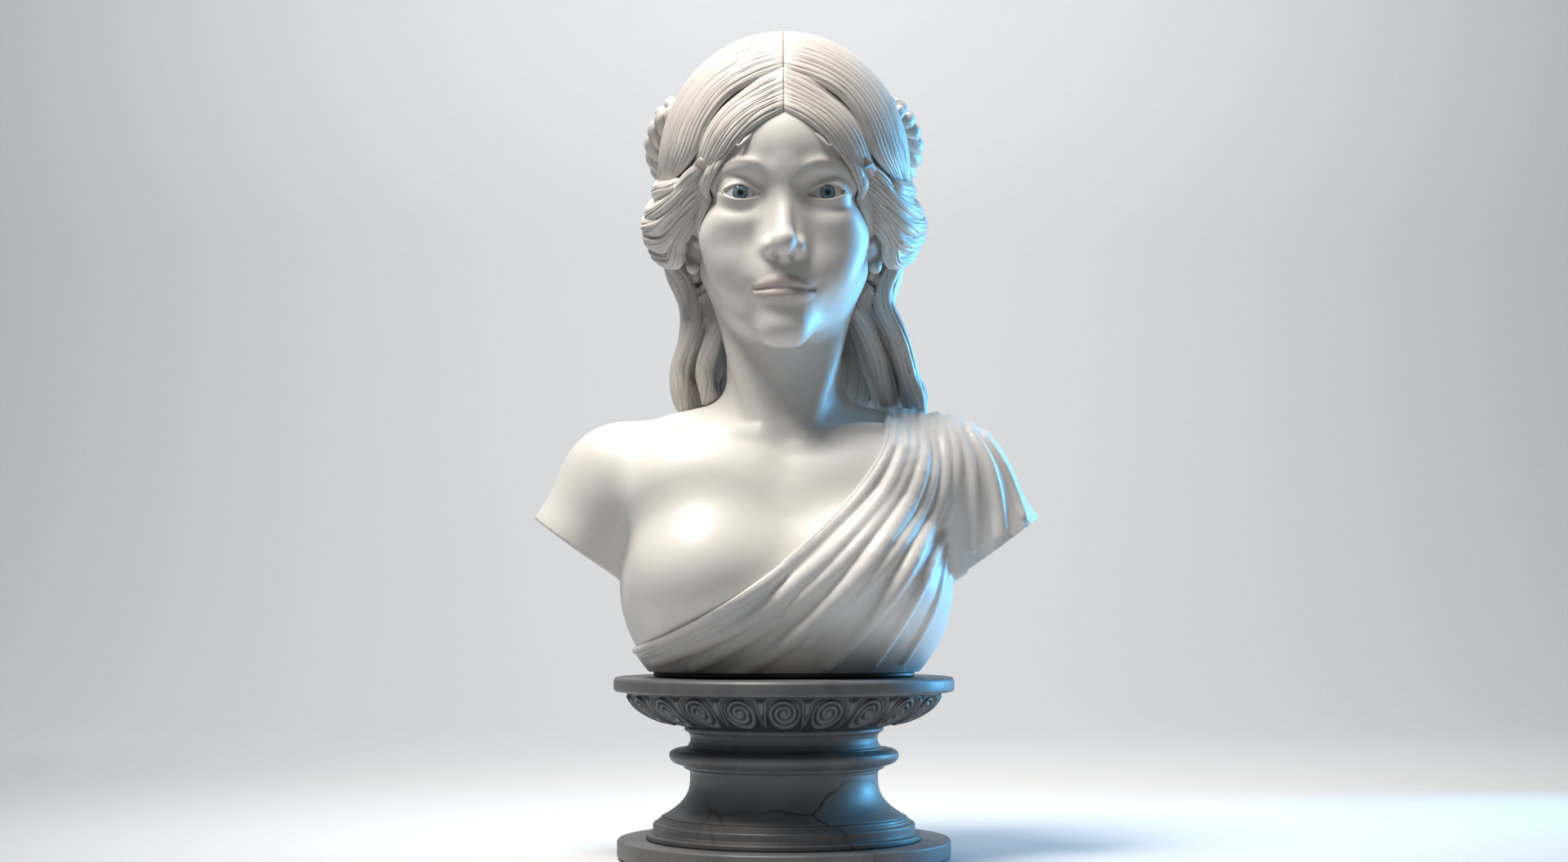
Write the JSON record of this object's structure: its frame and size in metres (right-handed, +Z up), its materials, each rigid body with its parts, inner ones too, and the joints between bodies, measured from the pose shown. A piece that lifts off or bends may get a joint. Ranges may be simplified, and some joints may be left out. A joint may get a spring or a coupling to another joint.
{
  "type": "marble bust",
  "caption": "Life-size marble bust of a draped woman with waved hair, turning on the pin of a stacked, turned stone socle with a carved scroll frieze.",
  "frame": {"origin": "middle of the socle's underside, on its upright axis", "axes": "+Z up the socle's axis, the face towards -Y, the mantle's shoulder towards +X"},
  "size_m": [0.3765, 0.2493, 0.609],
  "materials": {
    "figure_marble": "polished",
    "hair_marble": "satin",
    "mantle_marble": "satin",
    "eye_stone": "polished",
    "dark_stone": "satin",
    "veined_stone": "satin",
    "slate": "satin",
    "steel": "satin",
    "brass": "satin",
    "felt": "matte"
  },
  "bodies": {
    "socle": {"felt_pad": "felt", "plinth_disc": "dark_stone", "foot_moulding": "dark_stone", "scotia_shaft": "veined_stone", "knop_ring": "dark_stone", "necking_ring": "dark_stone", "frieze_bowl": "dark_stone", "cap_slab": "dark_stone", "tie_rod": "steel", "lower_washer": "steel", "lower_nut": "steel", "upper_washer": "steel", "upper_nut": "steel", "thrust_washer": "brass"},
    "figure": {"seat_plate": "slate", "pivot_bush": "brass", "torso": "figure_marble", "neck_dowel": "steel", "head": "figure_marble", "eye_right": "eye_stone", "eye_left": "eye_stone", "mantle": "mantle_marble", "hair_cap": "hair_marble", "hair_roll_right": "hair_marble", "hair_roll_left": "hair_marble", "hair_braid": "hair_marble", "hair_tress_right": "hair_marble", "hair_tress_back": "hair_marble", "hair_tress_left": "hair_marble"}
  },
  "joints": [
    {"name": "figure_swivel", "type": "hinge", "parent": "socle", "child": "figure", "pos_m": [0, 0, 0.1313], "axis": [0, 0, 1], "continuous": true}
  ]
}
